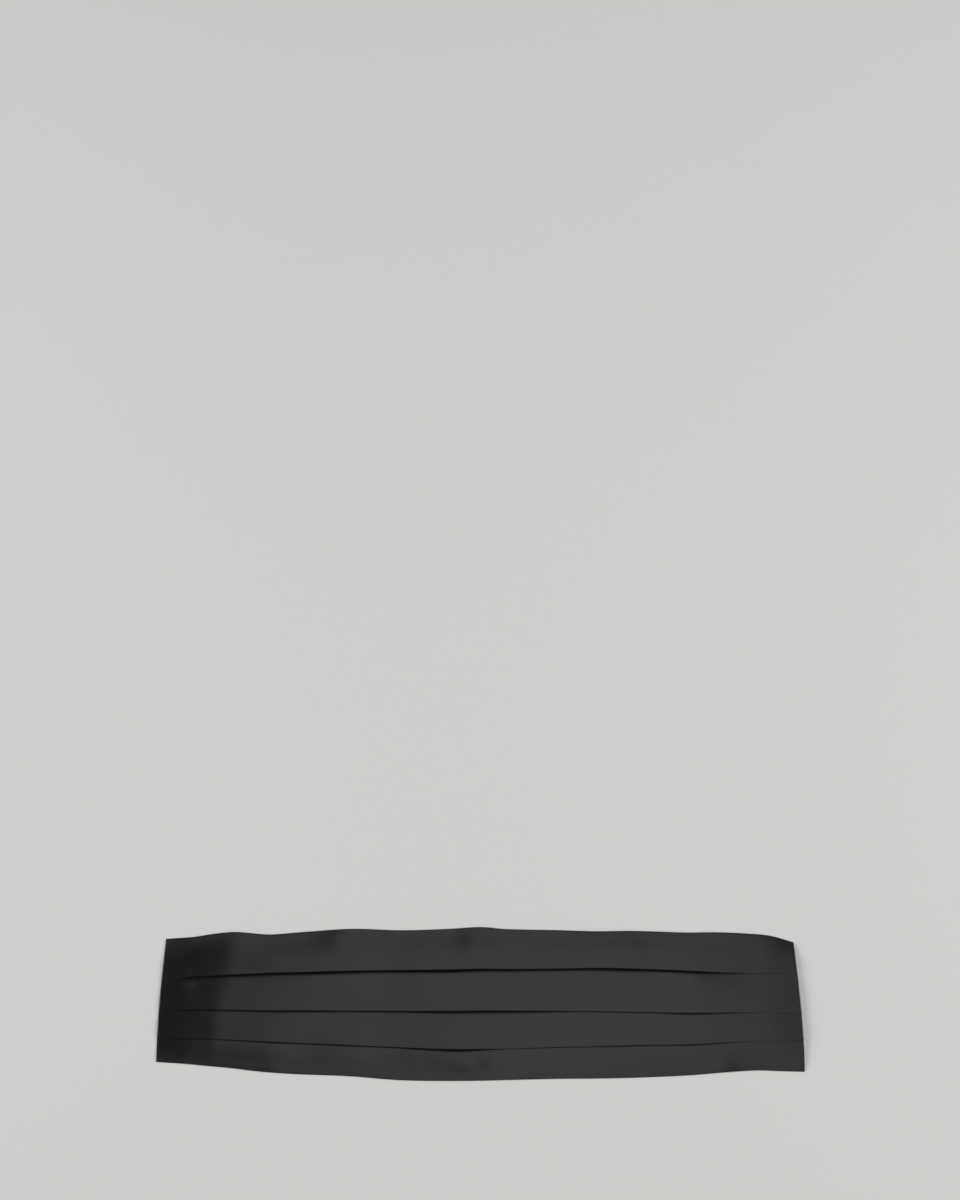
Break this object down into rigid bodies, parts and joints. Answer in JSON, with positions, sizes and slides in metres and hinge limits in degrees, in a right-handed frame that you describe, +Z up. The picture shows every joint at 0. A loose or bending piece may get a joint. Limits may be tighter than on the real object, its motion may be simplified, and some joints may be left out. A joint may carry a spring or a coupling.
{
  "type": "cummerbund",
  "caption": "Black satin waist sash with a long, softly pleated front, lying face up, its narrow strap and flat clasp fastened beneath it.",
  "frame": {"origin": "on the table, under the middle of the pleated front as it lies face up", "axes": "+X along the front, to the right of someone who looks down on it; +Y across it, away from the edges that the pleats open towards; +Z up, out of its face"},
  "size_m": [0.56, 0.133, 0.0103],
  "materials": {
    "satin": "black satin with a soft sheen",
    "strap_ribbon": "matt black ribbed ribbon",
    "clasp_metal": "plain nickel-coloured plate, lightly brushed"
  },
  "bodies": {
    "root": {"pleated_front": "satin", "left_strap": "strap_ribbon", "right_strap": "strap_ribbon", "clasp": "clasp_metal"}
  },
  "joints": []
}
